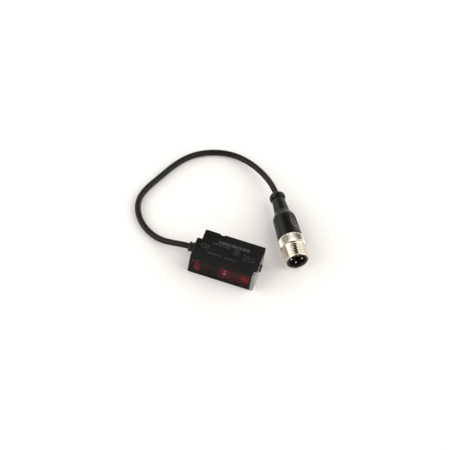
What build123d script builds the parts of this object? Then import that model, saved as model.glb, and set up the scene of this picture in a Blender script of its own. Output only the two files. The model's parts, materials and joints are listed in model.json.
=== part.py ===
"""Miniature rectangular photoelectric sensor with a short cable and a 4-pin M12 plug.

Millimetres, +Z up. The sensor lies on one of its two large faces (z = 0). The origin is midway
between the axes of its two M3 inserts. +X runs along the case towards the indicator end, and the
front window faces -Y. The plug lies on the table beside the case, with its axis at an angle to it.
"""
from build123d import *
import os
from math import cos, radians, sin

os.makedirs("parts", exist_ok=True)

# ---------------------------------------------------------------- driving sizes of the case
hole_spacing = 25.4         # between the two M3 threaded inserts
insert_radius = 2.1
insert_bore_radius = 1.25   # M3 tapping size
insert_length = 6.0
insert_gap = 0.01           # between an insert and the plastic moulded round it
hole_to_back = 2.8
body_length = 31.0          # at the back
body_depth = 20.0
body_thickness = 11.0
nose_step = 2.4             # the front part reaches this much further at the cable end
nose_setback = 6.5          # from the back face to that step
wall = 1.4
end_wall = 1.2              # between the inside and the indicator cap
corner_radius = 0.8
edge_chamfer = 0.25
slip_gap = 0.05             # room around a piece that is slid or dropped into place

mid_z = body_thickness / 2
right_x = body_length / 2
left_x = -right_x
nose_x = left_x - nose_step
back_y = hole_to_back
front_y = back_y - body_depth
nose_y = back_y - nose_setback
boss_half_width = insert_radius + 0.9

# ---------------------------------------------------------------- window, cap and optics
cap_thickness = 1.6
cap_length = 15.5           # from the front face
cap_corner_length = 3.2     # the front corner block of the cap has the case's whole thickness
cap_inset = 0.8             # case material above and below the rest of the cap
cap_inner_x = right_x - cap_thickness
cap_back_y = front_y + cap_length
cap_corner_y = front_y + cap_corner_length
inside_right_x = cap_inner_x - end_wall
inside_left_x = nose_x + wall

window_thickness = 1.4
window_rim = 0.8            # case material around the window
window_left_x = nose_x + window_rim
window_right_x = cap_inner_x - window_rim
window_back_y = front_y + window_thickness
boss_x = -13.9              # thick moulded boss on the inside of the window
boss_width = 3.4
boss_height = 7.2
boss_depth = 1.2

emitter_x = 0.0
emitter_lens_radius = 2.2
emitter_sphere_radius = 3.2
receiver_x = 10.5
receiver_lens_width = 4.0
receiver_lens_height = 6.8
receiver_sphere_radius = 6.0
lens_ledge = 0.5            # of the carrier behind each lens's edge
lens_thickness = 2.0
lens_back_y = -13.6
carrier_front_y = -15.1
carrier_back_y = -8.6
carrier_left_x = -3.0
panel_width = 4.8           # shallow panel in the carrier's front, between the lenses
panel_height = 6.4
panel_depth = 0.5

# ---------------------------------------------------------------- circuit board and adjuster
board_bottom_z = 3.2
board_thickness = 0.8
board_top_z = board_bottom_z + board_thickness
board_front_y = -8.3
board_left_x = -12.5
board_right_x = 12.3
board_half_tail = 9.3       # the narrow back part passes between the two insert bosses
board_tail_y = 1.1
board_step_y = -3.4

knob_y = -6.2
knob_radius = 2.0
knob_out = 0.9              # how far the adjuster stands out of the cap
knob_flange_radius = 2.4
knob_flange_thickness = 0.4
stem_radius = 1.0
running_gap = 0.05
indicator_leds = {"power_led": -7.4, "output_led": -4.4}     # y of each, under the board
led_x = 11.4
guide_width = 1.6           # light guides from the indicators to the cap
guide_height = 1.0
guide_z = 2.7

# ---------------------------------------------------------------- cable
cable_y = -6.3
cable_radius = 1.5
cable_bore_radius = 1.3
cable_clearance = 0.06
grommet_end_x = nose_x - 3.0
grommet_radius = 2.6
grommet_neck_radius = 2.2
grommet_groove_depth = 0.4
jacket_start_x = -13.4
wire_radius = 0.34
core_radius = 0.2
bundle_offset = 0.41        # each conductor's distance from the cable's centre, across and up
wire_lift = 0.38            # of a conductor's centre above the board at its pad
solder_height = 0.65
bare_length = 0.8           # of copper beyond the insulation at each end
cup_depth = 1.8             # of copper inside each contact's solder cup
samples_along_cable = 16
core_clearance = 0.03
table_gap = 0.05

# ---------------------------------------------------------------- plug, along its own axis
plug_length = 42.6
nut_radius = 6.5
plug_angle = 29.64          # from -Y towards +X
plug_axis = Vector(sin(radians(plug_angle)), -cos(radians(plug_angle)), 0)
plug_side = Vector(cos(radians(plug_angle)), sin(radians(plug_angle)), 0)
plug_origin = Vector(10.69, 41.38, nut_radius)
plug_centreline = Axis(plug_origin, plug_axis)

collar_length = 3.0
collar_radius = 4.0
neck_start_radius = 3.3
neck_end_radius = 4.0
neck_end = 13.2
shoulder_end = 16.6
grip_radius = 5.75
grip_end = 28.67
grip_end_radius = 6.2
plug_cavity_radius = 4.25
cavity_start = 15.8
scoop_centre = 21.0
scoop_depth = 0.7
scoop_radius = 15.4
scoop_turn = 40.0           # of the scooped flat's centre, from straight up towards plug_side

knurl_length = 5.5
knurl_grooves = 44
knurl_depth = 0.35
relief_length = 1.0
relief_radius = 5.45
thread_radius = 6.0         # M12
thread_start = grip_end + slip_gap + knurl_length + relief_length
nut_bore_radius = 5.27
nut_flange_length = 2.0
nut_flange_bore = 4.25

carrier_neck_radius = 4.2
carrier_radius = 5.2
carrier_neck_start = 23.5
carrier_step = grip_end + slip_gap + nut_flange_length + running_gap
carrier_end = plug_length - 0.2
recess_radius = 4.2
recess_floor = 34.6
key_angle = 45.0            # of the key ridge, from plug_side towards +Z, between contacts 1 and 2
pin_circle_radius = 2.75
pin_radius = 0.5
pin_gap = 0.02              # around each contact in the carrier
pin_end = 41.4
cup_radius = 0.75
cup_bore_radius = 0.3
cup_bore_depth = 2.2
cup_start = 20.5
jacket_end = 17.0
premould_bore_end = 17.5
chamber_radius = 3.65

# By contact number: the conductor's place in the cable (across, up), its colour and its pad's x and y
QUADRANTS = {1: (1, 1), 2: (-1, 1), 3: (-1, -1), 4: (1, -1)}
WIRE_OF_CONTACT = {1: "wire_brown", 2: "wire_white", 3: "wire_blue", 4: "wire_black"}
PAD_OF_CONTACT = {1: (-6.2, -7.1), 2: (-6.2, -5.2), 3: (-10.8, -5.3), 4: (-10.8, -7.0)}


def front_plane(y):
    """A plane that faces -Y: its own x is +X and its own y is +Z."""
    return Plane.XZ.offset(-y)


def end_plane(x):
    """A plane that faces +X: its own x is +Y and its own y is +Z."""
    return Plane.YZ.offset(x)


def plug_point(distance, across=0.0, up=0.0):
    """A point at a distance along the plug's axis from the back of its boot collar."""
    return plug_origin + plug_axis * distance + plug_side * across + Vector(0, 0, up)


def contact_place(contact):
    """A contact's place across and above the plug's axis. Contact 1 is at plug_side, 2 at the top."""
    angle = radians(90 * (contact - 1))
    return pin_circle_radius * cos(angle), pin_circle_radius * sin(angle)


def plug_plane(distance):
    """A plane square to the plug's axis, facing its pins: its own x is plug_side, its own y is +Z."""
    return Plane(origin=plug_point(distance), x_dir=-plug_side, z_dir=plug_axis)


plug_section = Plane(origin=plug_origin, x_dir=plug_axis, z_dir=-plug_side)

# ================================================================ case
# Housing: one moulded box, open at the front for the window. A deep seat at one end takes the
# indicator cap, and the two back corners are thick enough for the threaded inserts.
inside_outline = [
    (inside_left_x, window_back_y),
    (inside_right_x, window_back_y),
    (inside_right_x, -boss_half_width),
    (hole_spacing / 2 - boss_half_width, -boss_half_width),
    (hole_spacing / 2 - boss_half_width, back_y - wall),
    (boss_half_width - hole_spacing / 2, back_y - wall),
    (boss_half_width - hole_spacing / 2, -boss_half_width),
    (left_x + wall, -boss_half_width),
    (left_x + wall, nose_y - wall),
    (inside_left_x, nose_y - wall),
]
back_grooves = ((-6.7, 3.0, 0.7), (8.3, 3.4, 0.8))                # centre x, width, depth
board_posts = ((-7.5, 0.2), (7.5, 0.2), (-10.3, -5.0), (8.6, -5.0))
post_radius = 0.7

with BuildPart() as housing:
    with BuildSketch() as case_outline:
        with BuildLine():
            Polyline(
                (left_x, back_y), (right_x, back_y), (right_x, front_y),
                (nose_x, front_y), (nose_x, nose_y), (left_x, nose_y), close=True,
            )
        make_face()
        inner_corner = case_outline.vertices().sort_by_distance((left_x, nose_y))[0]
        fillet(case_outline.vertices() - ShapeList([inner_corner]), corner_radius)
        with BuildLine():
            for groove_x, groove_width, groove_depth in back_grooves:
                Polyline(
                    (groove_x - groove_width / 2, back_y),
                    (groove_x - groove_width / 5, back_y - groove_depth),
                    (groove_x + groove_width / 5, back_y - groove_depth),
                    (groove_x + groove_width / 2, back_y), close=True,
                )
        make_face(mode=Mode.SUBTRACT)
    extrude(amount=body_thickness)
    chamfer(housing.faces().sort_by(Axis.Z)[-1].edges(), edge_chamfer)
    chamfer(housing.faces().sort_by(Axis.Z)[0].edges(), edge_chamfer)
    # seat of the indicator cap: a sunk panel, and the whole front corner
    with BuildSketch(end_plane(cap_inner_x)):
        with Locations(((front_y + cap_back_y) / 2, mid_z)):
            Rectangle(cap_length + 2 * slip_gap, body_thickness - 2 * cap_inset)
        with Locations(((front_y + cap_corner_y) / 2, mid_z)):
            Rectangle(cap_corner_length + 2 * slip_gap, body_thickness * 2)
    extrude(amount=cap_thickness * 2, mode=Mode.SUBTRACT)
    # seat of the window
    with BuildSketch(front_plane(window_back_y)):
        with Locations(((window_left_x + window_right_x) / 2, mid_z)):
            RectangleRounded(window_right_x - window_left_x, body_thickness - 2 * window_rim, corner_radius)
    extrude(amount=window_thickness * 2, mode=Mode.SUBTRACT)
    # inside
    with BuildSketch(Plane.XY.offset(wall)):
        with BuildLine():
            Polyline(*inside_outline, close=True)
        make_face()
    extrude(amount=body_thickness - 2 * wall, mode=Mode.SUBTRACT)
    # posts under the circuit board
    with BuildSketch(Plane.XY.offset(wall)):
        with Locations(*board_posts):
            Circle(post_radius)
    extrude(amount=board_bottom_z - wall)
    # blind pockets of the threaded inserts, from below
    with BuildSketch():
        with GridLocations(hole_spacing, 0, 2, 1):
            Circle(insert_radius)
    extrude(amount=insert_length + slip_gap, mode=Mode.SUBTRACT)
    # cable entry, adjuster stem and light guides
    with BuildSketch(end_plane(nose_x)):
        with Locations((cable_y, mid_z)):
            Circle(grommet_neck_radius)
    extrude(amount=left_x + wall - nose_x, mode=Mode.SUBTRACT)
    with BuildSketch(end_plane(inside_right_x)):
        with Locations((knob_y, mid_z)):
            Circle(stem_radius + running_gap)
        for led_y in indicator_leds.values():
            with Locations((led_y, guide_z)):
                Rectangle(guide_width + 2 * slip_gap, guide_height + 2 * slip_gap)
    extrude(amount=end_wall, mode=Mode.SUBTRACT)
housing.part.label = "housing"
export_step(housing.part, "parts/housing.step")

# Threaded inserts: two brass bushes moulded into the underside, flush with it
with BuildPart() as threaded_inserts:
    with BuildSketch():
        with GridLocations(hole_spacing, 0, 2, 1):
            Circle(insert_radius - insert_gap)
            Circle(insert_bore_radius, mode=Mode.SUBTRACT)
    extrude(amount=insert_length)
threaded_inserts.part.label = "threaded_inserts"
export_step(threaded_inserts.part, "parts/threaded_inserts.step")

# Window: a dark red plate, with a thick boss moulded on its inner face at the cable end
with BuildPart() as front_window:
    with BuildSketch(front_plane(window_back_y)):
        with Locations(((window_left_x + window_right_x) / 2, mid_z)):
            RectangleRounded(
                window_right_x - window_left_x - 2 * slip_gap,
                body_thickness - 2 * window_rim - 2 * slip_gap,
                corner_radius - slip_gap,
            )
    extrude(amount=window_thickness)
    chamfer(front_window.faces().sort_by(Axis.Y)[0].edges(), 0.15)
    with BuildSketch(front_plane(window_back_y)):
        with Locations((boss_x, mid_z)):
            SlotOverall(boss_height, boss_width, rotation=90)
    extrude(amount=-boss_depth)
front_window.part.label = "front_window"
export_step(front_window.part, "parts/front_window.step")

# Indicator cap: translucent front corner and end panel, with two light guides and the adjuster's bore
with BuildPart() as indicator_cap:
    with BuildSketch() as cap_corner:
        with Locations(((cap_inner_x + right_x) / 2, (front_y + cap_corner_y) / 2)):
            Rectangle(cap_thickness, cap_corner_length)
        front_corner = cap_corner.vertices().sort_by_distance((right_x, front_y))[0]
        fillet(front_corner, corner_radius)
    extrude(amount=body_thickness)
    chamfer(indicator_cap.faces().sort_by(Axis.Z)[-1].edges(), edge_chamfer)
    chamfer(indicator_cap.faces().sort_by(Axis.Z)[0].edges(), edge_chamfer)
    with BuildSketch(end_plane(cap_inner_x)):
        with Locations(((cap_corner_y - corner_radius + cap_back_y) / 2, mid_z)):
            Rectangle(
                cap_back_y - cap_corner_y + corner_radius,
                body_thickness - 2 * cap_inset - 2 * slip_gap,
            )
    extrude(amount=cap_thickness)
    with BuildSketch(end_plane(cap_inner_x)):
        with Locations((knob_y, mid_z)):
            Circle(knob_radius + running_gap)
    extrude(amount=cap_thickness, mode=Mode.SUBTRACT)
    with BuildSketch(end_plane(cap_inner_x)):
        with Locations((knob_y, mid_z)):
            Circle(knob_flange_radius + 2 * running_gap)
    extrude(amount=knob_flange_thickness + 3 * running_gap, mode=Mode.SUBTRACT)
    with BuildSketch(end_plane(cap_inner_x)):
        for led_y in indicator_leds.values():
            with Locations((led_y, guide_z)):
                Rectangle(guide_width, guide_height)
    extrude(amount=-end_wall)
indicator_cap.part.label = "indicator_cap"
export_step(indicator_cap.part, "parts/indicator_cap.step")

# ================================================================ optics
# Carrier: holds both lenses at the window and keeps the two light paths apart
with BuildPart() as optics_carrier:
    with BuildSketch(front_plane(carrier_back_y)):
        with Locations(((carrier_left_x + inside_right_x - slip_gap) / 2, mid_z)):
            Rectangle(inside_right_x - slip_gap - carrier_left_x, body_thickness - 2 * wall - 2 * slip_gap)
    extrude(amount=carrier_back_y - carrier_front_y)
    # light paths, open at both ends
    with BuildSketch(front_plane(carrier_back_y)):
        with Locations((emitter_x, mid_z)):
            Circle(emitter_lens_radius - lens_ledge)
        with Locations((receiver_x, mid_z)):
            SlotOverall(
                receiver_lens_height - 2 * lens_ledge, receiver_lens_width - 2 * lens_ledge, rotation=90
            )
    extrude(amount=carrier_back_y - carrier_front_y, mode=Mode.SUBTRACT)
    # lens seats and the shallow panel between them
    with BuildSketch(front_plane(lens_back_y)):
        with Locations((emitter_x, mid_z)):
            Circle(emitter_lens_radius + slip_gap)
        with Locations((receiver_x, mid_z)):
            SlotOverall(receiver_lens_height + 2 * slip_gap, receiver_lens_width + 2 * slip_gap, rotation=90)
    extrude(amount=lens_back_y - carrier_front_y, mode=Mode.SUBTRACT)
    with BuildSketch(front_plane(carrier_front_y)):
        with Locations(((emitter_x + receiver_x) / 2, mid_z)):
            RectangleRounded(panel_width, panel_height, corner_radius)
    extrude(amount=-panel_depth, mode=Mode.SUBTRACT)
optics_carrier.part.label = "optics_carrier"
export_step(optics_carrier.part, "parts/optics_carrier.step")

with BuildPart() as emitter_lens:
    with BuildSketch(front_plane(lens_back_y)):
        with Locations((emitter_x, mid_z)):
            Circle(emitter_lens_radius)
    extrude(amount=lens_thickness)
    with Locations((emitter_x, lens_back_y - lens_thickness + emitter_sphere_radius, mid_z)):
        Sphere(emitter_sphere_radius, mode=Mode.INTERSECT)
emitter_lens.part.label = "emitter_lens"
export_step(emitter_lens.part, "parts/emitter_lens.step")

with BuildPart() as receiver_lens:
    with BuildSketch(front_plane(lens_back_y)):
        with Locations((receiver_x, mid_z)):
            SlotOverall(receiver_lens_height, receiver_lens_width, rotation=90)
    extrude(amount=lens_thickness)
    with Locations((receiver_x, lens_back_y - lens_thickness + receiver_sphere_radius, mid_z)):
        Sphere(receiver_sphere_radius, mode=Mode.INTERSECT)
receiver_lens.part.label = "receiver_lens"
export_step(receiver_lens.part, "parts/receiver_lens.step")

# ================================================================ circuit board
with BuildPart() as circuit_board:
    with BuildSketch(Plane.XY.offset(board_bottom_z)):
        with BuildLine():
            Polyline(
                (board_left_x, board_front_y), (board_right_x, board_front_y),
                (board_right_x, board_step_y), (board_half_tail, board_step_y),
                (board_half_tail, board_tail_y), (-board_half_tail, board_tail_y),
                (-board_half_tail, board_step_y), (board_left_x, board_step_y), close=True,
            )
        make_face()
    extrude(amount=board_thickness)
circuit_board.part.label = "circuit_board"
export_step(circuit_board.part, "parts/circuit_board.step")

# Emitter: a package that stands on the front edge of the board and looks forward through its dome
package_height = 2 * (mid_z - board_top_z)      # packages on the board that centre on the light axes
emitter_back_y = -7.2
emitter_front_y = -8.4
dome_radius = 0.95
dome_height = 0.7

with BuildPart() as emitter_led:
    with BuildSketch(front_plane(emitter_back_y)):
        with Locations((emitter_x, mid_z)):
            Rectangle(2.6, package_height)
    extrude(amount=emitter_back_y - emitter_front_y)
    with BuildSketch(front_plane(emitter_front_y)):
        with Locations((emitter_x, mid_z)):
            Circle(dome_radius)
    extrude(amount=dome_height)
    fillet(emitter_led.faces().sort_by(Axis.Y)[0].edges(), dome_height - 0.1)
emitter_led.part.label = "emitter_led"
export_step(emitter_led.part, "parts/emitter_led.step")

# Receiver: a flat photodiode package that looks forward through the oval lens
receiver_back_y = -7.8

with BuildPart() as receiver_photodiode:
    with BuildSketch(front_plane(receiver_back_y)):
        with Locations((receiver_x, mid_z)):
            Rectangle(3.0, package_height)
    extrude(amount=0.6)
    chamfer(receiver_photodiode.faces().sort_by(Axis.Y)[0].edges(), 0.12)
receiver_photodiode.part.label = "receiver_photodiode"
export_step(receiver_photodiode.part, "parts/receiver_photodiode.step")

# Processor: square package on the board's upper side
chip_side = 4.4

with BuildPart() as processor_chip:
    with BuildSketch(Plane.XY.offset(board_top_z)):
        with Locations((-2.5, -2.6)):
            Rectangle(chip_side, chip_side)
    extrude(amount=0.9)
    chamfer(processor_chip.faces().sort_by(Axis.Z)[-1].edges(), 0.12)
processor_chip.part.label = "processor_chip"
export_step(processor_chip.part, "parts/processor_chip.step")

# Small two-terminal chips in rows on both sides of the processor, and one larger inductor
small_chip_length = 1.6
small_chip_width = 0.8
inductor_side = 2.6
inductor_height = 1.6

with BuildPart() as board_components:
    with BuildSketch(Plane.XY.offset(board_top_z)):
        with Locations((3.6, -2.6)):
            with GridLocations(2.2, 1.7, 2, 3):
                Rectangle(small_chip_length, small_chip_width)
        with Locations((-7.2, -1.2)):
            with GridLocations(1.5, 2.2, 2, 2):
                Rectangle(small_chip_width, small_chip_length)
    extrude(amount=0.55)
    with BuildSketch(Plane.XY.offset(board_top_z)):
        with Locations((7.4, -1.6)):
            RectangleRounded(inductor_side, inductor_side, 0.4)
    extrude(amount=inductor_height)
board_components.part.label = "board_components"
export_step(board_components.part, "parts/board_components.step")

# Indicators: small packages under the board, at the light guides of the cap
for led_name, led_y in indicator_leds.items():
    with BuildPart() as indicator_led:
        with BuildSketch(Plane.XY.offset(board_bottom_z)):
            with Locations((led_x, led_y)):
                Rectangle(0.8, 1.4)
        extrude(amount=-0.6)
        chamfer(indicator_led.faces().sort_by(Axis.Z)[0].edges(), 0.1)
    indicator_led.part.label = led_name
    export_step(indicator_led.part, f"parts/{led_name}.step")

# Solder: one mound over each conductor's bare end
solder_width = 1.1
solder_slope = 60           # degrees
solder_start = 0.1          # of the mound, from the end of the insulation

with BuildPart() as solder_joints:
    for pad_x, pad_y in PAD_OF_CONTACT.values():
        with BuildSketch(end_plane(pad_x + solder_start)):
            with Locations((pad_y, board_top_z)):
                Trapezoid(solder_width, solder_height, solder_slope, align=(Align.CENTER, Align.MIN))
            with Locations((pad_y, board_top_z + wire_lift)):
                Circle(core_radius + core_clearance, mode=Mode.SUBTRACT)
        extrude(amount=bare_length)
solder_joints.part.label = "solder_joints"
export_step(solder_joints.part, "parts/solder_joints.step")

# ================================================================ sensitivity adjuster
# Potentiometer case: a small block on the board with a round pocket for its rotor
pot_width = 3.0
pot_back_x = 8.9
pot_front_x = 11.6
rotor_stub_x = 9.9
rotor_back_x = 10.95
rotor_front_x = 12.05
rotor_radius = 1.2
rotor_stub_radius = 0.6
rotor_slot_width = 0.5
slot_floor_x = 11.5
adjuster_axis = Axis((0, knob_y, mid_z), (1, 0, 0))

with BuildPart() as potentiometer_case:
    with BuildSketch(end_plane(pot_back_x)):
        with Locations((knob_y, mid_z)):
            Rectangle(pot_width, package_height)
    extrude(amount=pot_front_x - pot_back_x)
    chamfer(potentiometer_case.faces().sort_by(Axis.Z)[-1].edges(), 0.15)
    with BuildSketch(end_plane(rotor_back_x - running_gap)):
        with Locations((knob_y, mid_z)):
            Circle(rotor_radius + running_gap)
    extrude(amount=pot_front_x - rotor_back_x + running_gap, mode=Mode.SUBTRACT)
    with BuildSketch(end_plane(rotor_stub_x - running_gap)):
        with Locations((knob_y, mid_z)):
            Circle(rotor_stub_radius + running_gap)
    extrude(amount=rotor_back_x - rotor_stub_x, mode=Mode.SUBTRACT)
potentiometer_case.part.label = "potentiometer_case"
export_step(potentiometer_case.part, "parts/potentiometer_case.step")

# Potentiometer rotor: turns in the case's pocket on a stub, with a slot for the knob's blade
with BuildPart() as potentiometer_rotor:
    with BuildSketch(end_plane(rotor_stub_x)):
        with Locations((knob_y, mid_z)):
            Circle(rotor_stub_radius)
    extrude(amount=rotor_back_x - rotor_stub_x)
    with BuildSketch(end_plane(rotor_back_x)):
        with Locations((knob_y, mid_z)):
            Circle(rotor_radius)
    extrude(amount=rotor_front_x - rotor_back_x)
    with BuildSketch(end_plane(slot_floor_x)):
        with Locations((knob_y, mid_z)):
            Rectangle(rotor_radius * 3, rotor_slot_width)
    extrude(amount=rotor_front_x - slot_floor_x, mode=Mode.SUBTRACT)
potentiometer_rotor.part.label = "potentiometer_rotor"
export_step(potentiometer_rotor.part, "parts/potentiometer_rotor.step")

# Knob: turned profile along X with a retaining flange, a seal groove, a driver slot outside and a
# blade inside that drives the rotor
knob_front_x = right_x + knob_out
knob_chamfer = 0.2
stem_end_x = 12.3
flange_back_x = cap_inner_x + running_gap
flange_front_x = flange_back_x + knob_flange_thickness
blade_end_x = slot_floor_x + 0.1
blade_width = 1.6
blade_thickness = 0.4
seal_groove_back_x = 14.65
seal_groove_front_x = 15.3
seal_groove_radius = 1.45
driver_slot_width = 0.7
driver_slot_depth = 0.6

with BuildPart() as adjuster_knob:
    with BuildSketch(front_plane(knob_y)):
        with BuildLine():
            Polyline(
                (stem_end_x, mid_z), (stem_end_x, mid_z + stem_radius),
                (flange_back_x, mid_z + stem_radius),
                (flange_back_x, mid_z + knob_flange_radius),
                (flange_front_x, mid_z + knob_flange_radius),
                (flange_front_x, mid_z + knob_radius),
                (seal_groove_back_x, mid_z + knob_radius),
                (seal_groove_back_x, mid_z + seal_groove_radius),
                (seal_groove_front_x, mid_z + seal_groove_radius),
                (seal_groove_front_x, mid_z + knob_radius),
                (knob_front_x - knob_chamfer, mid_z + knob_radius),
                (knob_front_x, mid_z + knob_radius - knob_chamfer),
                (knob_front_x, mid_z), close=True,
            )
        make_face()
    revolve(axis=adjuster_axis)
    with BuildSketch(end_plane(knob_front_x)):
        with Locations((knob_y, mid_z)):
            Rectangle(driver_slot_width, knob_radius * 3)
    extrude(amount=-driver_slot_depth, mode=Mode.SUBTRACT)
    with BuildSketch(end_plane(blade_end_x)):
        with Locations((knob_y, mid_z)):
            Rectangle(blade_width, blade_thickness)
    extrude(amount=stem_end_x - blade_end_x)
adjuster_knob.part.label = "adjuster_knob"
export_step(adjuster_knob.part, "parts/adjuster_knob.step")

# Seal: a ring in the knob's groove, just clear of the cap's bore
seal_section_radius = 0.28
seal_ring_radius = knob_radius + running_gap - seal_section_radius - 0.02

with BuildPart() as adjuster_seal:
    with BuildSketch(front_plane(knob_y)):
        with Locations(((seal_groove_back_x + seal_groove_front_x) / 2, mid_z + seal_ring_radius)):
            Circle(seal_section_radius)
    revolve(axis=adjuster_axis)
adjuster_seal.part.label = "adjuster_seal"
export_step(adjuster_seal.part, "parts/adjuster_seal.step")

# ================================================================ cable
# Grommet: holds the cable in the case's end wall, with one groove so that its outer part can bend
grommet_bore = cable_radius + cable_clearance
grommet_neck = grommet_neck_radius - insert_gap

with BuildPart() as cable_grommet:
    with BuildSketch(front_plane(cable_y)):
        with BuildLine():
            Polyline(
                (left_x + wall - slip_gap, mid_z + grommet_bore),
                (left_x + wall - slip_gap, mid_z + grommet_neck),
                (nose_x, mid_z + grommet_neck),
                (nose_x, mid_z + grommet_radius),
                (nose_x - 1.1, mid_z + grommet_radius),
                (nose_x - 1.3, mid_z + grommet_radius - grommet_groove_depth),
                (nose_x - 1.9, mid_z + grommet_radius - grommet_groove_depth),
                (nose_x - 2.1, mid_z + grommet_radius),
                (grommet_end_x + 0.3, mid_z + grommet_radius - 0.1),
                (grommet_end_x, mid_z + grommet_radius - 0.5),
                (grommet_end_x, mid_z + grommet_bore), close=True,
            )
        make_face()
    revolve(axis=Axis((0, cable_y, mid_z), (1, 0, 0)))
cable_grommet.part.label = "cable_grommet"
export_step(cable_grommet.part, "parts/cable_grommet.step")

# The cable leaves the grommet straight, sinks to the table, makes one wide loop behind the case and
# rises into the boot collar of the plug
table_z = cable_radius + table_gap
cable_points = [Vector(x, cable_y, mid_z) for x in (jacket_start_x, -16.0, -18.5, grommet_end_x)]
cable_points += [
    Vector(-35.9, -4.8, 2.2),
    Vector(-47.6, 2.5, table_z),
    Vector(-53.3, 15.6, table_z),
    Vector(-48.5, 33.6, table_z),
    Vector(-36.0, 55.6, table_z),
    Vector(-18.8, 62.7, table_z + 0.4),
    Vector(1.1, 53.6, 4.4),
]
cable_points += [plug_point(distance) for distance in (0, 5, 11, jacket_end)]
with BuildLine() as cable_line:
    Spline(*cable_points, tangents=(Vector(-1, 0, 0), plug_axis))
cable_path = cable_line.wire()


def start_plane(path):
    """The plane square to a path at its first point."""
    return Plane(origin=path @ 0, z_dir=path % 0)


with BuildPart() as cable_jacket:
    with BuildSketch(start_plane(cable_path)):
        Circle(cable_radius)
        Circle(cable_bore_radius, mode=Mode.SUBTRACT)
    sweep(path=cable_path)
cable_jacket.part.label = "cable_jacket"
export_step(cable_jacket.part, "parts/cable_jacket.step")

# Conductors: four wires keep their places around the cable's centre along its whole length, then
# spread to their pads on the board and to their contacts in the plug
def wire_paths(contact):
    """The three stretches of one conductor: board tail, run along the cable and plug tail."""
    across, up = QUADRANTS[contact]
    contact_across, contact_up = contact_place(contact)
    followed = []
    for sample in range(samples_along_cable + 1):
        distance = cable_path.length * sample / samples_along_cable
        place = cable_path.position_at(distance, position_mode=PositionMode.LENGTH)
        direction = cable_path.tangent_at(distance, position_mode=PositionMode.LENGTH)
        sideways = Vector(0, 0, 1).cross(direction).normalized()
        upwards = direction.cross(sideways)
        followed.append(place + (sideways * across + upwards * up) * bundle_offset)
    pad_end = Vector(*PAD_OF_CONTACT[contact], board_top_z + wire_lift)
    cup_end = plug_point(cup_start - bare_length, contact_across, contact_up)
    with BuildLine() as along_cable:
        Spline(*followed)
    run = along_cable.wire()
    with BuildLine() as board_tail:
        Spline(pad_end, run @ 0, tangents=(Vector(-1, 0, 0), run % 0))
    with BuildLine() as plug_tail:
        Spline(run @ 1, cup_end, tangents=(run % 1, plug_axis))
    return [board_tail.wire(), run, plug_tail.wire()]


conductors = {contact: wire_paths(contact) for contact in QUADRANTS}

for contact, wire_name in WIRE_OF_CONTACT.items():
    with BuildPart() as wire:
        for path in conductors[contact]:
            with BuildSketch(start_plane(path)) as insulation_section:
                Circle(wire_radius)
                Circle(core_radius + core_clearance, mode=Mode.SUBTRACT)
            sweep(sections=insulation_section.sketch, path=path)
    wire.part.label = wire_name
    export_step(wire.part, f"parts/{wire_name}.step")

with BuildPart() as copper_cores:
    for paths in conductors.values():
        for path in paths:
            with BuildSketch(start_plane(path)) as core_section:
                Circle(core_radius)
            sweep(sections=core_section.sketch, path=path)
        with BuildSketch(start_plane(paths[0])) as pad_section:
            Circle(core_radius)
        extrude(pad_section.sketch, amount=-bare_length)
        with BuildSketch(Plane(origin=paths[-1] @ 1, z_dir=paths[-1] % 1)) as cup_section:
            Circle(core_radius)
        extrude(cup_section.sketch, amount=bare_length + cup_depth)
copper_cores.part.label = "copper_cores"
export_step(copper_cores.part, "parts/copper_cores.step")

# ================================================================ plug
# Grip: soft overmoulding with a boot collar, a tapering neck and two scooped flats
scoop_up = Vector(0, 0, 1) * cos(radians(scoop_turn)) + plug_side * sin(radians(scoop_turn))
boot_bore = cable_radius + cable_clearance
collar_back_radius = neck_start_radius - 0.4

with BuildPart() as connector_grip:
    with BuildSketch(plug_section):
        with BuildLine():
            Line((0, boot_bore), (0, collar_back_radius))
            ThreePointArc(
                (0, collar_back_radius),
                (collar_length / 2, collar_radius),
                (collar_length, neck_start_radius),
            )
            Line((collar_length, neck_start_radius), (neck_end, neck_end_radius))
            Spline(
                (neck_end, neck_end_radius), (neck_end + 1.0, neck_end_radius + 1.1),
                (shoulder_end, grip_radius),
                tangents=((0.5, 1), (1, 0.05)),
            )
            Line((shoulder_end, grip_radius), (grip_end, grip_end_radius))
            Line((grip_end, grip_end_radius), (grip_end, plug_cavity_radius))
            Line((grip_end, plug_cavity_radius), (cavity_start, plug_cavity_radius))
            Line((cavity_start, plug_cavity_radius), (cavity_start, boot_bore))
            Line((cavity_start, boot_bore), (0, boot_bore))
        make_face()
    revolve(axis=plug_centreline)
    for way in (1, -1):
        radial = scoop_up * way
        scoop_middle = plug_point(scoop_centre) + radial * (grip_radius - scoop_depth + scoop_radius)
        with BuildSketch(Plane(origin=scoop_middle, x_dir=plug_axis, z_dir=radial.cross(plug_axis))):
            Circle(scoop_radius)
        extrude(amount=grip_end_radius, both=True, mode=Mode.SUBTRACT)
connector_grip.part.label = "connector_grip"
export_step(connector_grip.part, "parts/connector_grip.step")

# Premould: holds the contacts' backs and the end of the cable inside the grip
with BuildPart() as inner_premould:
    with BuildSketch(plug_plane(cavity_start + slip_gap)):
        Circle(plug_cavity_radius - slip_gap)
        Circle(boot_bore, mode=Mode.SUBTRACT)
    extrude(amount=carrier_neck_start - cavity_start - 2 * slip_gap)
    with BuildSketch(plug_plane(premould_bore_end)):
        Circle(chamber_radius)
    extrude(amount=carrier_neck_start - premould_bore_end, mode=Mode.SUBTRACT)
inner_premould.part.label = "inner_premould"
export_step(inner_premould.part, "parts/inner_premould.step")

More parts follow.
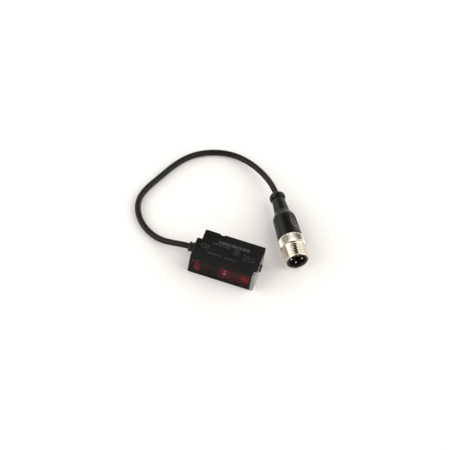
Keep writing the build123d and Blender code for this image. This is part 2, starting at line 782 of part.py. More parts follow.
# Contact carrier: neck and flange hold the coupling nut, and the open front shrouds the four pins.
# A ridge in the shroud is the key that lets the mating socket in one way only.
key_width = 1.1
key_height = 0.8
key_root = 0.1              # of the key inside the shroud's wall
carrier_chamfer = 0.3

with BuildPart() as contact_carrier:
    with BuildSketch(plug_section):
        with BuildLine():
            Polyline(
                (carrier_neck_start, 0), (carrier_neck_start, carrier_neck_radius),
                (carrier_step, carrier_neck_radius), (carrier_step, carrier_radius),
                (carrier_end - carrier_chamfer, carrier_radius),
                (carrier_end, carrier_radius - carrier_chamfer),
                (carrier_end, recess_radius), (recess_floor, recess_radius),
                (recess_floor, 0), close=True,
            )
        make_face()
    revolve(axis=plug_centreline)
    # the plane's own x runs against plug_side, so the key's angle is measured from the other side
    with BuildSketch(plug_plane(recess_floor)):
        with PolarLocations(recess_radius + key_root - key_height / 2, 1, start_angle=180 - key_angle):
            Rectangle(key_height, key_width)
    extrude(amount=carrier_end - recess_floor - carrier_chamfer)
    with BuildSketch(plug_plane(carrier_neck_start)):
        with PolarLocations(pin_circle_radius, 4):
            Circle(pin_radius + pin_gap)
    extrude(amount=recess_floor - carrier_neck_start, mode=Mode.SUBTRACT)
contact_carrier.part.label = "contact_carrier"
export_step(contact_carrier.part, "parts/contact_carrier.step")

# Contacts: turned pins with a domed tip and a hollow solder cup
cup_length = carrier_neck_start - cup_start - pin_gap

for contact in QUADRANTS:
    cup_mouth = plug_point(cup_start, *contact_place(contact))
    cup_plane = Plane(origin=cup_mouth, x_dir=plug_side, z_dir=plug_axis)
    with BuildPart() as contact_pin:
        with BuildSketch(cup_plane):
            Circle(cup_radius)
        extrude(amount=cup_length)
        with BuildSketch(cup_plane.offset(cup_length)):
            Circle(pin_radius)
        extrude(amount=pin_end - carrier_neck_start)
        tip_edge = contact_pin.faces().sort_by(Axis(plug_origin, plug_axis))[-1].edges()
        fillet(tip_edge, pin_radius * 0.8)
        with BuildSketch(cup_plane):
            Circle(cup_bore_radius)
        extrude(amount=cup_bore_depth, mode=Mode.SUBTRACT)
    contact_pin.part.label = f"contact_pin_{contact}"
    export_step(contact_pin.part, f"parts/contact_pin_{contact}.step")

# Coupling nut: straight knurl, relief groove and the M12 thread at its outside diameter
nut_start = grip_end + slip_gap
knurl_end = nut_start + knurl_length
knurl_chamfer = 0.4
thread_chamfer = 0.5

with BuildPart() as coupling_nut:
    with BuildSketch(plug_section):
        with BuildLine():
            Polyline(
                (nut_start, nut_flange_bore), (nut_start, nut_radius - knurl_chamfer),
                (nut_start + knurl_chamfer, nut_radius), (knurl_end - knurl_chamfer, nut_radius),
                (knurl_end, nut_radius - knurl_chamfer), (knurl_end, relief_radius),
                (thread_start, relief_radius), (thread_start, thread_radius),
                (plug_length - thread_chamfer, thread_radius),
                (plug_length, thread_radius - thread_chamfer),
                (plug_length, nut_bore_radius), (nut_start + nut_flange_length, nut_bore_radius),
                (nut_start + nut_flange_length, nut_flange_bore), close=True,
            )
        make_face()
    revolve(axis=plug_centreline)
    with BuildSketch(plug_plane(nut_start)):
        with PolarLocations(nut_radius, knurl_grooves):
            RegularPolygon(knurl_depth, 4)
    extrude(amount=knurl_length, mode=Mode.SUBTRACT)
coupling_nut.part.label = "coupling_nut"
export_step(coupling_nut.part, "parts/coupling_nut.step")
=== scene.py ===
"""Looks of a miniature photoelectric sensor with a short cable and a moulded M12 plug.

Metres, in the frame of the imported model: the sensor lies on the floor at z = 0, its window faces -Y
and its indicator end faces +X. Distances named in millimetres are multiplied by MM.
"""

import json
import math

import bmesh
import bpy
from mathutils import Matrix, Vector


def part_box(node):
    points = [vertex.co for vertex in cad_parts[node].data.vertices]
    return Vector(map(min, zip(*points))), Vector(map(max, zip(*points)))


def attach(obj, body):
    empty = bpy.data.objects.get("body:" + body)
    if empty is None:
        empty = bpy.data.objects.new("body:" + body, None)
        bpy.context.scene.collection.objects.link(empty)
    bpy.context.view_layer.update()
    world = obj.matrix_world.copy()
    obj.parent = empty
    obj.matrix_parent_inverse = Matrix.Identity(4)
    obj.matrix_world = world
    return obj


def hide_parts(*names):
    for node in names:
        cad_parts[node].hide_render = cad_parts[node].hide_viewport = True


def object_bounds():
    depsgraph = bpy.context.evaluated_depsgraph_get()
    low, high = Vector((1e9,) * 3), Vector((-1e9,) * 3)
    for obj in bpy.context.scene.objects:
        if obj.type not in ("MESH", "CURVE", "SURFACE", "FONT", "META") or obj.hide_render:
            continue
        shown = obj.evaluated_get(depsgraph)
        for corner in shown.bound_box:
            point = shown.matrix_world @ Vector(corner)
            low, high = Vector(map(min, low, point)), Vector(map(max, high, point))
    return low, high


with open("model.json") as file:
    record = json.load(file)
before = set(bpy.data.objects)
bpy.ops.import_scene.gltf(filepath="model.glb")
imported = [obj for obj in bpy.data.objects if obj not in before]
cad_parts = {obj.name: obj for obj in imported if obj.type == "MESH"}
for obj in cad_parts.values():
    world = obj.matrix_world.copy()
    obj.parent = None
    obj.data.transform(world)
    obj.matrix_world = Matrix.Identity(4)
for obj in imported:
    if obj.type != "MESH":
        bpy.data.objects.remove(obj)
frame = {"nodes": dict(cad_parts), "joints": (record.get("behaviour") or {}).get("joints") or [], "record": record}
cad_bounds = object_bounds()
NODES = frame["nodes"]
JOINTS = {joint["name"]: joint for joint in frame["joints"]}
MM = 0.001
TURN = 2 * math.pi
NOISE_ROUGHNESS = 0.55


# ---------------------------------------------------------------- node material helpers
class Shader:
    """A node material being built: nodes are added by type and linked to one another."""

    def __init__(self, name):
        self.material = bpy.data.materials.new(name)
        self.material.use_nodes = True
        self.tree = self.material.node_tree
        self.tree.nodes.clear()
        self.output = self.add("ShaderNodeOutputMaterial")

    def add(self, kind, **settings):
        """Adds a node. A setting is one of the node's properties or, failing that, one of its inputs."""
        node = self.tree.nodes.new(kind)
        for key, value in settings.items():
            if hasattr(node, key):
                setattr(node, key, value)
            else:
                node.inputs[key.replace("_", " ")].default_value = value
        return node

    def link(self, start, end):
        self.tree.links.new(start, end)

    def position(self):
        """Object coordinates, which are the model's own coordinates in metres."""
        return self.add("ShaderNodeTexCoord").outputs["Object"]

    def along(self, axis):
        """One coordinate of the position."""
        split = self.add("ShaderNodeSeparateXYZ")
        self.link(self.position(), split.inputs["Vector"])
        return split.outputs[axis]

    def noise(self, size, detail=4.0):
        """Noise whose main lumps are about size metres across."""
        mapping = self.add("ShaderNodeMapping")
        mapping.inputs["Scale"].default_value = (1 / size, 1 / size, 1 / size)
        self.link(self.position(), mapping.inputs["Vector"])
        texture = self.add("ShaderNodeTexNoise", Scale=1.0, Detail=detail, Roughness=NOISE_ROUGHNESS)
        self.link(mapping.outputs["Vector"], texture.inputs["Vector"])
        return texture.outputs["Fac"]

    def ramp(self, value, *stops):
        """Colours or greys by value: stops are (position, colour)."""
        ramp = self.add("ShaderNodeValToRGB")
        elements = ramp.color_ramp.elements
        while len(elements) < len(stops):
            elements.new(0.5)
        for element, (place, colour) in zip(elements, stops):
            element.position = place
            grey = isinstance(colour, (int, float))
            element.color = (colour, colour, colour, 1) if grey else (*colour, 1)
        self.link(value, ramp.inputs["Fac"])
        return ramp.outputs["Color"]

    def calc(self, operation, *values, clamp=False):
        """One arithmetic step. Each value is a number or another node's output."""
        node = self.add("ShaderNodeMath", operation=operation, use_clamp=clamp)
        for index, value in enumerate(values):
            if isinstance(value, (int, float)):
                node.inputs[index].default_value = value
            else:
                self.link(value, node.inputs[index])
        return node.outputs[0]

    def oval(self, centre_x, centre_z, half_width, half_height, edge=1.6):
        """1 inside an upright oval across the window, fading to 0 at its edge. Sizes in millimetres."""
        squares = []
        for axis, centre, half in (("X", centre_x, half_width), ("Z", centre_z, half_height)):
            share = self.calc("MULTIPLY_ADD", self.along(axis), 1 / (half * MM), -centre / half)
            squares.append(self.calc("POWER", self.calc("ABSOLUTE", share), 2.0))
        return self.calc("MULTIPLY_ADD", self.calc("ADD", *squares), -edge, edge, clamp=True)

    def relief(self, height, depth, shader):
        """Gives a shader's surface a fine relief, depth metres deep."""
        bump = self.add("ShaderNodeBump", Distance=depth, Strength=1.0)
        self.link(height, bump.inputs["Height"])
        self.link(bump.outputs["Normal"], shader.inputs["Normal"])

    def principled(self, **inputs):
        shader = self.add("ShaderNodeBsdfPrincipled")
        for key, value in inputs.items():
            shader.inputs[key.replace("_", " ")].default_value = value
        return shader

    def blend(self, factor, first, second):
        """A mixture of two surfaces, by a number or another node's output."""
        mix = self.add("ShaderNodeMixShader")
        if isinstance(factor, (int, float)):
            mix.inputs["Fac"].default_value = factor
        else:
            self.link(factor, mix.inputs["Fac"])
        self.link(first, mix.inputs[1])
        self.link(second, mix.inputs[2])
        return mix.outputs["Shader"]

    def finish(self, surface):
        self.link(surface, self.output.inputs["Surface"])
        return self.material


def mix_colour(colour, factor):
    return tuple(value * factor for value in colour)


def cloudy(colour, variation):
    """Two ramp stops: the colour a little darker and a little brighter."""
    return (0.3, mix_colour(colour, 1 - variation)), (0.7, mix_colour(colour, 1 + variation))


def plastic(
    name, colour, roughness=0.45, grain=0.12, grain_depth=0.006, variation=0.25, edge=0.0, shine=0.3
):
    """Moulded plastic: a fine texture of lumps `grain` mm across, with cloudy colour and gloss.

    edge is how far the colour is lightened along sharp outer edges."""
    s = Shader(name)
    shader = s.principled(IOR=1.5, Specular_IOR_Level=shine)
    base = s.ramp(s.noise(4 * MM, detail=5), *cloudy(colour, variation))
    # the colour is made lighter along sharp outer edges, by the surface's pointiness
    if edge:
        edge_sharpness = s.add("ShaderNodeNewGeometry").outputs["Pointiness"]
        edge_share = s.ramp(edge_sharpness, (0.52, 0.0), (0.6, 1.0))
        edge_lightened = [min(1, value * 3 + 0.03) for value in colour]
        mix = s.add("ShaderNodeMix", data_type="RGBA", blend_type="MIX")
        s.link(s.calc("MULTIPLY", edge_share, edge), mix.inputs["Factor"])
        s.link(base, mix.inputs["A"])
        mix.inputs["B"].default_value = (*edge_lightened, 1)
        base = mix.outputs["Result"]
    s.link(base, shader.inputs["Base Color"])
    gloss = s.ramp(s.noise(1.3 * MM, detail=3), (0.3, roughness * 0.85), (0.7, roughness * 1.15))
    s.link(gloss, shader.inputs["Roughness"])
    s.relief(s.noise(grain * MM, detail=2), grain_depth * MM, shader)
    return s.finish(shader.outputs["BSDF"])


def rubber(name, colour, roughness=0.55, shine=0.35):
    """Soft cable and seal compounds: matt, with a slight bloom and faint flow lines."""
    s = Shader(name)
    shader = s.principled(IOR=1.5, Specular_IOR_Level=shine)
    dark, bloomed = mix_colour(colour, 0.8), mix_colour(colour, 1.35)
    bloom = s.ramp(s.noise(2.5 * MM, detail=6), (0.35, dark), (0.75, bloomed))
    s.link(bloom, shader.inputs["Base Color"])
    gloss = s.ramp(s.noise(0.8 * MM), (0.3, roughness * 0.8), (0.7, roughness * 1.2))
    s.link(gloss, shader.inputs["Roughness"])
    s.relief(s.noise(0.35 * MM), 0.012 * MM, shader)
    return s.finish(shader.outputs["BSDF"])


def metal(name, colour, roughness=0.2, scratch=0.05, tarnish=0.12):
    """Plated or turned metal: fine scratches `scratch` mm apart and cloudy tarnish."""
    s = Shader(name)
    shader = s.principled(Metallic=1.0)
    tarnished = mix_colour(colour, 1 - tarnish)
    base = s.ramp(s.noise(3 * MM, detail=6), (0.3, tarnished), (0.65, colour))
    s.link(base, shader.inputs["Base Color"])
    gloss = s.ramp(s.noise(0.5 * MM, detail=5), (0.3, roughness * 0.7), (0.7, roughness * 1.4))
    s.link(gloss, shader.inputs["Roughness"])
    s.relief(s.noise(scratch * MM, detail=3), 0.0015 * MM, shader)
    return s.finish(shader.outputs["BSDF"])


def clear_plastic(
    name, colour, roughness=0.04, milk=0.0, milk_colour=(0.8, 0.8, 0.78), shadow=0.7, shine=0.5,
    milk_place=None, behind_y=None, mirror=1.0, lamp=None,
):
    """See-through plastic. Light on its way to what lies behind passes as through tinted glass.

    milk is how much of it scatters light, everywhere or only in the oval milk_place and behind behind_y.
    mirror scales the reflections of its surface. shadow is how much light it lets through.
    lamp is a painted highlight: a small emissive spot standing in for the glint on a lens: (oval, colour,
    strength)."""
    s = Shader(name)
    glass = s.principled(Transmission_Weight=1.0, IOR=1.49, Roughness=roughness, Specular_IOR_Level=shine)
    glass.inputs["Specular Tint"].default_value = (mirror, mirror, mirror, 1)
    tint = s.ramp(s.noise(3 * MM, detail=3), (0.3, mix_colour(colour, 0.92)), (0.7, colour))
    s.link(tint, glass.inputs["Base Color"])
    s.relief(s.noise(1.8 * MM, detail=1), 0.004 * MM, glass)
    surface = glass.outputs["BSDF"]
    if milk:
        body = s.principled(Roughness=0.3, IOR=1.49, Subsurface_Weight=0.6, Subsurface_Scale=2 * MM)
        body.inputs["Base Color"].default_value = (*milk_colour, 1)
        amount = milk
        if milk_place:
            amount = s.calc("MULTIPLY", s.oval(*milk_place), milk)
        if behind_y is not None:
            amount = s.calc("MULTIPLY", s.calc("GREATER_THAN", s.along("Y"), behind_y), amount)
        surface = s.blend(amount, surface, body.outputs["BSDF"])
    through = s.add("ShaderNodeBsdfTransparent")
    through.inputs["Color"].default_value = (*[math.sqrt(value) * shadow for value in colour], 1)
    shadow_ray = s.add("ShaderNodeLightPath").outputs["Is Shadow Ray"]
    surface = s.blend(shadow_ray, surface, through.outputs["BSDF"])
    # painted highlight: an emissive spot on the lens in place of the glint on its dome
    if lamp:
        place, glint_colour, strength = lamp
        glow = s.add("ShaderNodeEmission")
        glow.inputs["Color"].default_value = (*glint_colour, 1)
        s.link(s.calc("MULTIPLY", s.oval(*place, edge=1.2), strength), glow.inputs["Strength"])
        both = s.add("ShaderNodeAddShader")
        s.link(surface, both.inputs[0])
        s.link(glow.outputs["Emission"], both.inputs[1])
        surface = both.outputs["Shader"]
    return s.finish(surface)


def ink(name, grey):
    """Pad-printed ink: slightly broken up, so that it sits in the plastic's texture."""
    s = Shader(name)
    shader = s.principled(IOR=1.45)
    broken = s.ramp(s.noise(0.4 * MM, detail=5), (0.3, grey * 0.55), (0.62, grey))
    s.link(broken, shader.inputs["Base Color"])
    s.link(s.ramp(s.noise(1.1 * MM), (0.3, 0.5), (0.7, 0.75)), shader.inputs["Roughness"])
    return s.finish(shader.outputs["BSDF"])


def lit_package(name, colour, glow):
    """An indicator's resin package, glowing faintly from inside."""
    s = Shader(name)
    shader = s.principled(Roughness=0.2, IOR=1.5, Emission_Strength=glow)
    shade = s.ramp(s.noise(0.6 * MM), (0.3, mix_colour(colour, 0.8)), (0.7, colour))
    s.link(shade, shader.inputs["Base Color"])
    s.link(shade, shader.inputs["Emission Color"])
    return s.finish(shader.outputs["BSDF"])


# ---------------------------------------------------------------- materials, by the record's material slots
WINDOW_LOW, WINDOW_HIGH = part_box("front_window")
WINDOW_PLATE = 1.4 * MM
WINDOW_INSIDE = WINDOW_LOW.y + WINDOW_PLATE + 0.05 * MM
# Ovals across the window: centre x and z, half width and half height, in millimetres
TEXTURED_BOSS = (-13.9, 4.3, 2.0, 4.1)
# painted light: the receiver lens scatters light only in a soft oval low on it, standing in for the light on its
# lower half
RECEIVER_PAINTED_GLOW = (10.4, 3.2, 2.8, 4.6)
# painted highlight: where the glint on the emitter's lens is painted as an emissive spot
EMITTER_GLINT_SPOT = (0.1, 4.1, 0.4, 0.4)
LENS_TINT = (0.95, 0.95, 0.95)

MATERIALS = {
    "black_moulding": plastic(
        "case_plastic", (0.0028, 0.0028, 0.0028), 0.38, 0.11, 0.004, variation=0.2, edge=0.2, shine=0.1
    ),
    "red_window": clear_plastic(
        "window_plastic", (0.42, 0.05, 0.07), 0.03, 0.9, (0.34, 0.16, 0.2), shadow=0.9, shine=0.1,
        milk_place=TEXTURED_BOSS, behind_y=WINDOW_INSIDE, mirror=0.08,
    ),
    "clear_cap": clear_plastic(
        "cap_plastic", (0.7, 0.73, 0.7), 0.2, 0.85, (0.25, 0.26, 0.255), mirror=0.5
    ),
    "insert_brass": metal("brass_turned", (0.8, 0.6, 0.28), 0.25),
    "carrier_moulding": plastic("carrier_plastic", (0.17, 0.14, 0.14), 0.5, 0.2, 0.008),
    # the receiver lens is milky only in its painted-light oval
    "clear_lens": clear_plastic(
        "lens_plastic", LENS_TINT, 0.02, 1.0, (1.0, 0.92, 0.92), shadow=0.95, milk_place=RECEIVER_PAINTED_GLOW
    ),
    "board_green": plastic("board_mask", (0.02, 0.16, 0.06), 0.3, 0.3, 0.004),
    "led_clear_package": clear_plastic("led_resin", (0.93, 0.9, 0.9), 0.05),
    "dark_package": plastic("chip_resin", (0.02, 0.02, 0.022), 0.5),
    "ceramic_chip": plastic("chip_ceramic", (0.42, 0.33, 0.24), 0.6),
    "power_led_package": lit_package("green_led", (0.1, 0.75, 0.25), 1.2),
    "output_led_package": lit_package("amber_led", (0.9, 0.5, 0.08), 0.2),
    "solder": metal("solder_alloy", (0.62, 0.63, 0.65), 0.35),
    "trimmer_case": plastic("trimmer_plastic", (0.03, 0.07, 0.3), 0.4),
    "trimmer_rotor": plastic("rotor_plastic", (0.7, 0.7, 0.67), 0.5),
    "knob_black": plastic("knob_plastic", (0.008, 0.008, 0.008), 0.4, 0.12, 0.006, edge=0.3),
    "seal_rubber": rubber("seal_compound", (0.012, 0.012, 0.012)),
    "grommet_black": rubber("grommet_compound", (0.008, 0.008, 0.008), 0.5, 0.3),
    "cable_black": rubber("cable_compound", (0.0045, 0.004, 0.0037), 0.4, 0.2),
    "insulation_brown": plastic("wire_brown_pvc", (0.13, 0.05, 0.02), 0.4),
    "insulation_white": plastic("wire_white_pvc", (0.8, 0.8, 0.78), 0.4),
    "insulation_blue": plastic("wire_blue_pvc", (0.02, 0.07, 0.36), 0.4),
    "insulation_black": plastic("wire_black_pvc", (0.015, 0.015, 0.015), 0.4),
    "copper": metal("copper_strand", (0.86, 0.45, 0.28), 0.3),
    "grip_black": rubber("grip_compound", (0.002, 0.002, 0.0024), 0.32, 0.2),
    "premould_grey": plastic("premould_plastic", (0.22, 0.22, 0.23), 0.5),
    "insert_black": plastic("insert_plastic", (0.012, 0.012, 0.012), 0.45, 0.15, 0.006),
    "contact_gold": metal("contact_plating", (0.97, 0.88, 0.68), 0.3),
    "nickel_plate": metal("nickel_plating", (0.67, 0.62, 0.54), 0.12, scratch=0.08),
}

for row in frame["record"]["subparts"]:
    carried = NODES[row["node"]]
    carried.data.materials.clear()
    carried.data.materials.append(MATERIALS[row["material_slot"]])
# the emitter's lens carries a painted highlight, an emissive spot in place of its glint
NODES["emitter_lens"].data.materials[0] = clear_plastic(
    "emitter_lens_plastic", LENS_TINT, 0.02, 0.5, (0.5, 0.46, 0.46), shadow=0.95,
    lamp=(EMITTER_GLINT_SPOT, (1.0, 2.2, 2.4), 3.0),
)


# ---------------------------------------------------------------- mesh helpers
def piece_from_bmesh(name, mesh, material, body, smooth_angle=35.0):
    """Turns a bmesh into a shaded piece that rides on a body."""
    bmesh.ops.recalc_face_normals(mesh, faces=mesh.faces)
    data = bpy.data.meshes.new(name)
    mesh.to_mesh(data)
    mesh.free()
    data.materials.append(material)
    data.shade_smooth()
    data.set_sharp_from_angle(angle=math.radians(smooth_angle))
    piece = bpy.data.objects.new(name, data)
    bpy.context.scene.collection.objects.link(piece)
    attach(piece, body)
    return piece


def lathe(rings, sides, to_world):
    """A closed solid of rings: each ring is a function of the angle that gives (along, radius).

    The last ring joins back to the first, so the rings walk once around the solid's section."""
    mesh = bmesh.new()
    grid = []
    for ring in rings:
        row = []
        for side in range(sides):
            angle = TURN * side / sides
            along, radius = ring(angle)
            row.append(mesh.verts.new(to_world(along, radius, angle)))
        grid.append(row)
    for first, second in zip(grid, grid[1:] + grid[:1]):
        for side in range(sides):
            after = (side + 1) % sides
            mesh.faces.new((first[side], first[after], second[after], second[side]))
    return mesh


def fixed_ring(along, radius):
    """A plain round ring for lathe."""
    return lambda angle: (along, radius)


# ---------------------------------------------------------------- plug frame, from the nut's joint
PLUG_AXIS = Vector(JOINTS["nut_spin"]["axis"]).normalized()
PLUG_PIVOT = Vector(JOINTS["nut_spin"]["pos_m"])
PLUG_UP = Vector((0, 0, 1))
PLUG_SIDE = PLUG_UP.cross(PLUG_AXIS).normalized()


def plug_span(node):
    """Where a node starts and ends along the plug's axis, measured from the nut joint's pivot."""
    along = [(vertex.co - PLUG_PIVOT).dot(PLUG_AXIS) for vertex in NODES[node].data.vertices]
    return min(along), max(along)


def plug_place(along, radius, angle):
    """A point of the plug: angle 0 is straight up, and a quarter turn is towards PLUG_SIDE."""
    outward = PLUG_UP * math.cos(angle) + PLUG_SIDE * math.sin(angle)
    return PLUG_PIVOT + PLUG_AXIS * along + outward * radius


# ---------------------------------------------------------------- coupling nut with a real thread
NUT_START, NUT_END = plug_span("coupling_nut")
KNURL_LENGTH = 5.5 * MM
KNURL_RADIUS = 6.5 * MM
KNURL_TEETH = 44
KNURL_DEPTH = 0.27 * MM
KNURL_GROOVE = 0.44             # half width of a groove, as a share of a tooth
# (distance from the knurl's end, drop below its crests) in millimetres
KNURL_SHOULDER = ((0.0, 0.6), (0.1, 0.42), (0.35, 0.18), (0.75, 0.0))
BACK_FACE_RADIUS = KNURL_RADIUS - 0.95 * MM
RELIEF_RADIUS = 5.4 * MM
THREAD_START = NUT_START + KNURL_LENGTH + 0.7 * MM
KNURL_END = NUT_START + KNURL_LENGTH
THREAD_RADIUS = 6.0 * MM
THREAD_PITCH = 1.0 * MM
THREAD_DEPTH = 0.58 * MM
THREAD_CREST = 0.16             # flat crest, and each sloping flank, as shares of half a turn
THREAD_FLANK = 0.66
THREAD_RUN_IN = 0.9             # turns over which the groove starts
THREAD_RINGS_PER_TURN = 12
LEAD_IN_LENGTH = 0.55 * MM      # chamfer at the open end
LEAD_IN_SLOPE = 1.1
RIM_RADIUS_STEP = 0.14 * MM
NUT_BORE = 5.27 * MM
NUT_FLANGE_BORE = 4.25 * MM
NUT_FLANGE_LENGTH = 2.0 * MM
NUT_SIDES = KNURL_TEETH * 6


def knurl_ring(along, edge_drop):
    """One ring of V grooves, sunk by edge_drop towards the ends of the knurl."""
    def ring(angle):
        phase = (angle * KNURL_TEETH / TURN) % 1.0
        groove = max(0.0, 1 - abs(phase - 0.5) / KNURL_GROOVE)
        return along, KNURL_RADIUS - edge_drop - KNURL_DEPTH * groove
    return ring


def thread_ring(along, cap_radius):
    """One ring of the helical thread, cut down to cap_radius where the lead-in chamfer is."""
    def ring(angle):
        phase = ((along - THREAD_START) / THREAD_PITCH - angle / TURN) % 1.0
        from_crest = abs(phase - 0.5) * 2
        depth = min(max((from_crest - THREAD_CREST) / THREAD_FLANK, 0.0), 1.0)
        run_in = min(max((along - THREAD_START) / (THREAD_RUN_IN * THREAD_PITCH), 0.0), 1.0)
        radius = THREAD_RADIUS - THREAD_DEPTH * depth * run_in
        return along, min(radius, cap_radius)
    return ring


def knurl_rings():
    """The rings of the knurl, from its back end to its front end."""
    rings = [knurl_ring(NUT_START + step * MM, drop * MM) for step, drop in KNURL_SHOULDER]
    shoulder_length = KNURL_SHOULDER[-1][0] * MM
    middle = KNURL_LENGTH - 2 * shoulder_length
    for step in range(1, 5):
        rings.append(knurl_ring(NUT_START + shoulder_length + step / 5 * middle, 0))
    for step, drop in reversed(KNURL_SHOULDER):
        rings.append(knurl_ring(KNURL_END - step * MM, drop * MM))
    return rings


def thread_rings():
    """The rings of the thread, from the relief groove to the open end."""
    length = NUT_END - 0.12 * MM - THREAD_START
    steps = round(length / THREAD_PITCH * THREAD_RINGS_PER_TURN)
    rings = []
    for step in range(steps + 1):
        along = THREAD_START + length * step / steps
        lead_in = max(0.0, along - (NUT_END - LEAD_IN_LENGTH)) * LEAD_IN_SLOPE
        rings.append(thread_ring(along, THREAD_RADIUS - lead_in))
    return rings


def coupling_nut():
    """Outside from the back face to the open end, then back through the bore and its flange."""
    rings = [fixed_ring(NUT_START, NUT_FLANGE_BORE), fixed_ring(NUT_START, BACK_FACE_RADIUS)]
    rings += knurl_rings()
    rings.append(fixed_ring(KNURL_END, RELIEF_RADIUS + 0.08 * MM))
    rings.append(fixed_ring(KNURL_END + 0.1 * MM, RELIEF_RADIUS))
    rings.append(fixed_ring(THREAD_START - 0.12 * MM, RELIEF_RADIUS))
    rings.append(fixed_ring(THREAD_START - 0.1 * MM, RELIEF_RADIUS + 0.05 * MM))
    rings += thread_rings()
    rim = NUT_BORE + RIM_RADIUS_STEP
    rings.append(fixed_ring(NUT_END - 0.03 * MM, rim + 0.08 * MM))
    rings.append(fixed_ring(NUT_END, rim))
    rings.append(fixed_ring(NUT_END, NUT_BORE + 0.06 * MM))
    rings.append(fixed_ring(NUT_END - 0.06 * MM, NUT_BORE))
    rings.append(fixed_ring(NUT_START + NUT_FLANGE_LENGTH, NUT_BORE))
    rings.append(fixed_ring(NUT_START + NUT_FLANGE_LENGTH, NUT_FLANGE_BORE))
    mesh = lathe(rings, NUT_SIDES, plug_place)
    piece = piece_from_bmesh("coupling_nut_threaded", mesh, MATERIALS["nickel_plate"], "coupling_nut", 28)
    # the knurl's plating is rougher, and its slightly darker colour is painted shade
    piece.data.materials.append(metal("nickel_knurled_shaded", (0.64, 0.6, 0.53), 0.26, scratch=0.08))
    for face in piece.data.polygons:
        if (face.center - PLUG_PIVOT).dot(PLUG_AXIS) < KNURL_END:
            face.material_index = 1
    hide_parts("coupling_nut")


coupling_nut()

# ---------------------------------------------------------------- grip with soft-edged scoops
GRIP_START, GRIP_END = plug_span("connector_grip")
SCOOP_TURN = math.radians(40)
SCOOP_CENTRE = GRIP_START + 21.0 * MM
SCOOP_DEPTH = 0.72 * MM
SCOOP_HALF_LENGTH = 4.9 * MM
SCOOP_HALF_ANGLE = math.radians(29)
SCOOP_FLATNESS = 1.35
SCOOP_POWER = 0.9
# Outline of the grip in millimetres, measured from the back of its boot collar
COLLAR_CENTRE = 1.55
COLLAR_HALF_LENGTH = 1.5
COLLAR_BASE = 3.05
COLLAR_BULGE = 0.95
COLLAR_STEPS = 14
NECK_START = 3.7
NECK_RADIUS = 3.3
NECK_TAPER = 0.074
SHOULDER_START = 12.2
SHOULDER_LENGTH = 4.2
SHOULDER_RADIUS = 3.93
SHOULDER_RISE = 1.82
SHOULDER_STEPS = 12
BODY_START = 16.4
BODY_RADIUS = 5.75
BODY_TAPER = 0.036
BODY_STEPS = 30
GRIP_BORE = 1.56
GRIP_CAVITY = 4.25
GRIP_CAVITY_START = 15.8
GRIP_SIDES = 144


def grip_profile():
    """(along, radius) down the outside of the grip, in millimetres from the back of the boot collar."""
    outline = []
    for step in range(COLLAR_STEPS + 1):
        turn = math.pi * step / COLLAR_STEPS
        bulge = COLLAR_BULGE * math.sin(turn) ** 0.75
        outline.append((COLLAR_CENTRE - COLLAR_HALF_LENGTH * math.cos(turn), COLLAR_BASE + bulge))
    outline += [(3.25, 3.22), (NECK_START, NECK_RADIUS)]     # hollow in front of the collar
    for along in (5.5, 7.5, 9.5, 11.0, SHOULDER_START):
        outline.append((along, NECK_RADIUS + (along - NECK_START) * NECK_TAPER))
    for step in range(1, SHOULDER_STEPS + 1):
        share = step / SHOULDER_STEPS
        rise = SHOULDER_RISE * math.sin(share * math.pi / 2) ** 1.25
        outline.append((SHOULDER_START + SHOULDER_LENGTH * share ** 1.15, SHOULDER_RADIUS + rise))
    end = (GRIP_END - GRIP_START) / MM
    for step in range(1, BODY_STEPS + 1):
        along = BODY_START + (end - 0.25 - BODY_START) * step / BODY_STEPS
        outline.append((along, BODY_RADIUS + (along - BODY_START) * BODY_TAPER))
    outline += [(end - 0.1, 6.12), (end, 5.95)]
    return outline


def scoop_cut(along, angle):
    """How far a scooped flat sinks below the round grip at a place, in metres."""
    cut = 0.0
    for centre in (SCOOP_TURN, SCOOP_TURN + math.pi):
        turn = (angle - centre + math.pi) % TURN - math.pi
        across = turn / SCOOP_HALF_ANGLE
        lengthways = (along - SCOOP_CENTRE) / SCOOP_HALF_LENGTH
        inside = 1 - across * across - lengthways * lengthways
        if inside > 0:
            cut = max(cut, SCOOP_DEPTH * min(1.0, inside * SCOOP_FLATNESS) ** SCOOP_POWER)
    return cut


def grip_ring(along, radius):
    """One ring of the grip's outside, with the scooped flats cut away."""
    def ring(angle):
        return along, radius - scoop_cut(along, angle)
    return ring


def connector_grip():
    """Outside from the collar to the nut, then back through the cavity and the cable's bore."""
    bore = GRIP_BORE * MM
    cavity = GRIP_CAVITY * MM
    cavity_start = GRIP_START + GRIP_CAVITY_START * MM
    rings = [fixed_ring(GRIP_START + 0.1 * MM, bore)]
    for along, radius in grip_profile():
        rings.append(grip_ring(GRIP_START + along * MM, radius * MM))
    rings.append(fixed_ring(GRIP_END, cavity))
    rings.append(fixed_ring(cavity_start, cavity))
    rings.append(fixed_ring(cavity_start, bore))
    mesh = lathe(rings, GRIP_SIDES, plug_place)
    piece = piece_from_bmesh("connector_grip_moulded", mesh, MATERIALS["grip_black"], "sensor", 50)
    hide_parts("connector_grip")


connector_grip()

# ---------------------------------------------------------------- generic print on the upper face
HOUSING_LOW, HOUSING_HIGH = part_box("housing")
PRINT_Z = HOUSING_HIGH.z
PRINT_HEIGHT = 0.012 * MM
PRINT_LEFT = -15.5 * MM
PRINT_CORNER_STEPS = 4
PRINT_BACK = HOUSING_HIGH.y


def print_point(along, down, level):
    """Along from the cable end and down from the back edge of the upper face, in millimetres."""
    return Vector((PRINT_LEFT + along * MM, PRINT_BACK - down * MM, PRINT_Z + level * PRINT_HEIGHT))


def add_plate(mesh, outline):
    """A thin closed plate with the given outline, in print millimetres."""
    low = [mesh.verts.new(print_point(along, down, -0.5)) for along, down in outline]
    high = [mesh.verts.new(print_point(along, down, 1)) for along, down in outline]
    mesh.faces.new(low)
    mesh.faces.new(list(reversed(high)))
    count = len(outline)
    for index in range(count):
        after = (index + 1) % count
        mesh.faces.new((low[after], low[index], high[index], high[after]))


